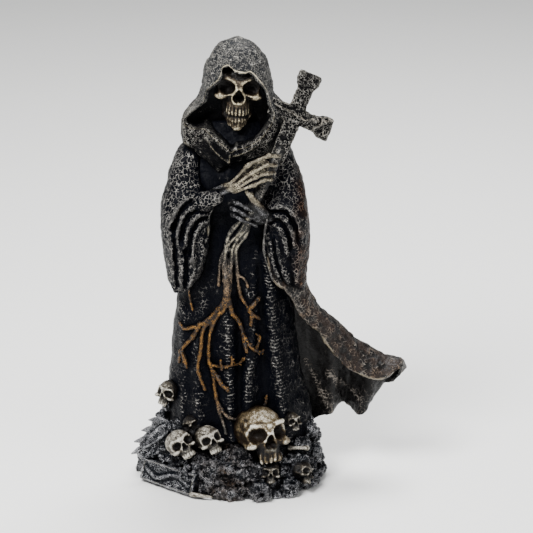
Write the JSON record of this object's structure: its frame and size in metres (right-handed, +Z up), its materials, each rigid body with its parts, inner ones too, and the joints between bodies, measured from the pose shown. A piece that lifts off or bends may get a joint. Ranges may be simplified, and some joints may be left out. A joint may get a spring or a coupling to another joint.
{
  "type": "hooded skeleton statue",
  "caption": "Cast statuette of a hooded, robed skeleton that grips a cross on a root staff, standing on a mound of skulls and rubble; a shelf ornament.",
  "frame": {"origin": "on the flat underside, straight below the upright axis of the figure", "axes": "+Z up, the figure faces -Y, +X to the viewer's right, the side that the cape blows out to"},
  "size_m": [0.1388, 0.0809, 0.2279],
  "materials": {
    "painted_resin": "satin blue-black paint dry-brushed with silver and ivory on the raised carving, bone and rust tones on skulls, hands and roots"
  },
  "bodies": {
    "root": {"statue": "painted_resin"}
  },
  "joints": []
}
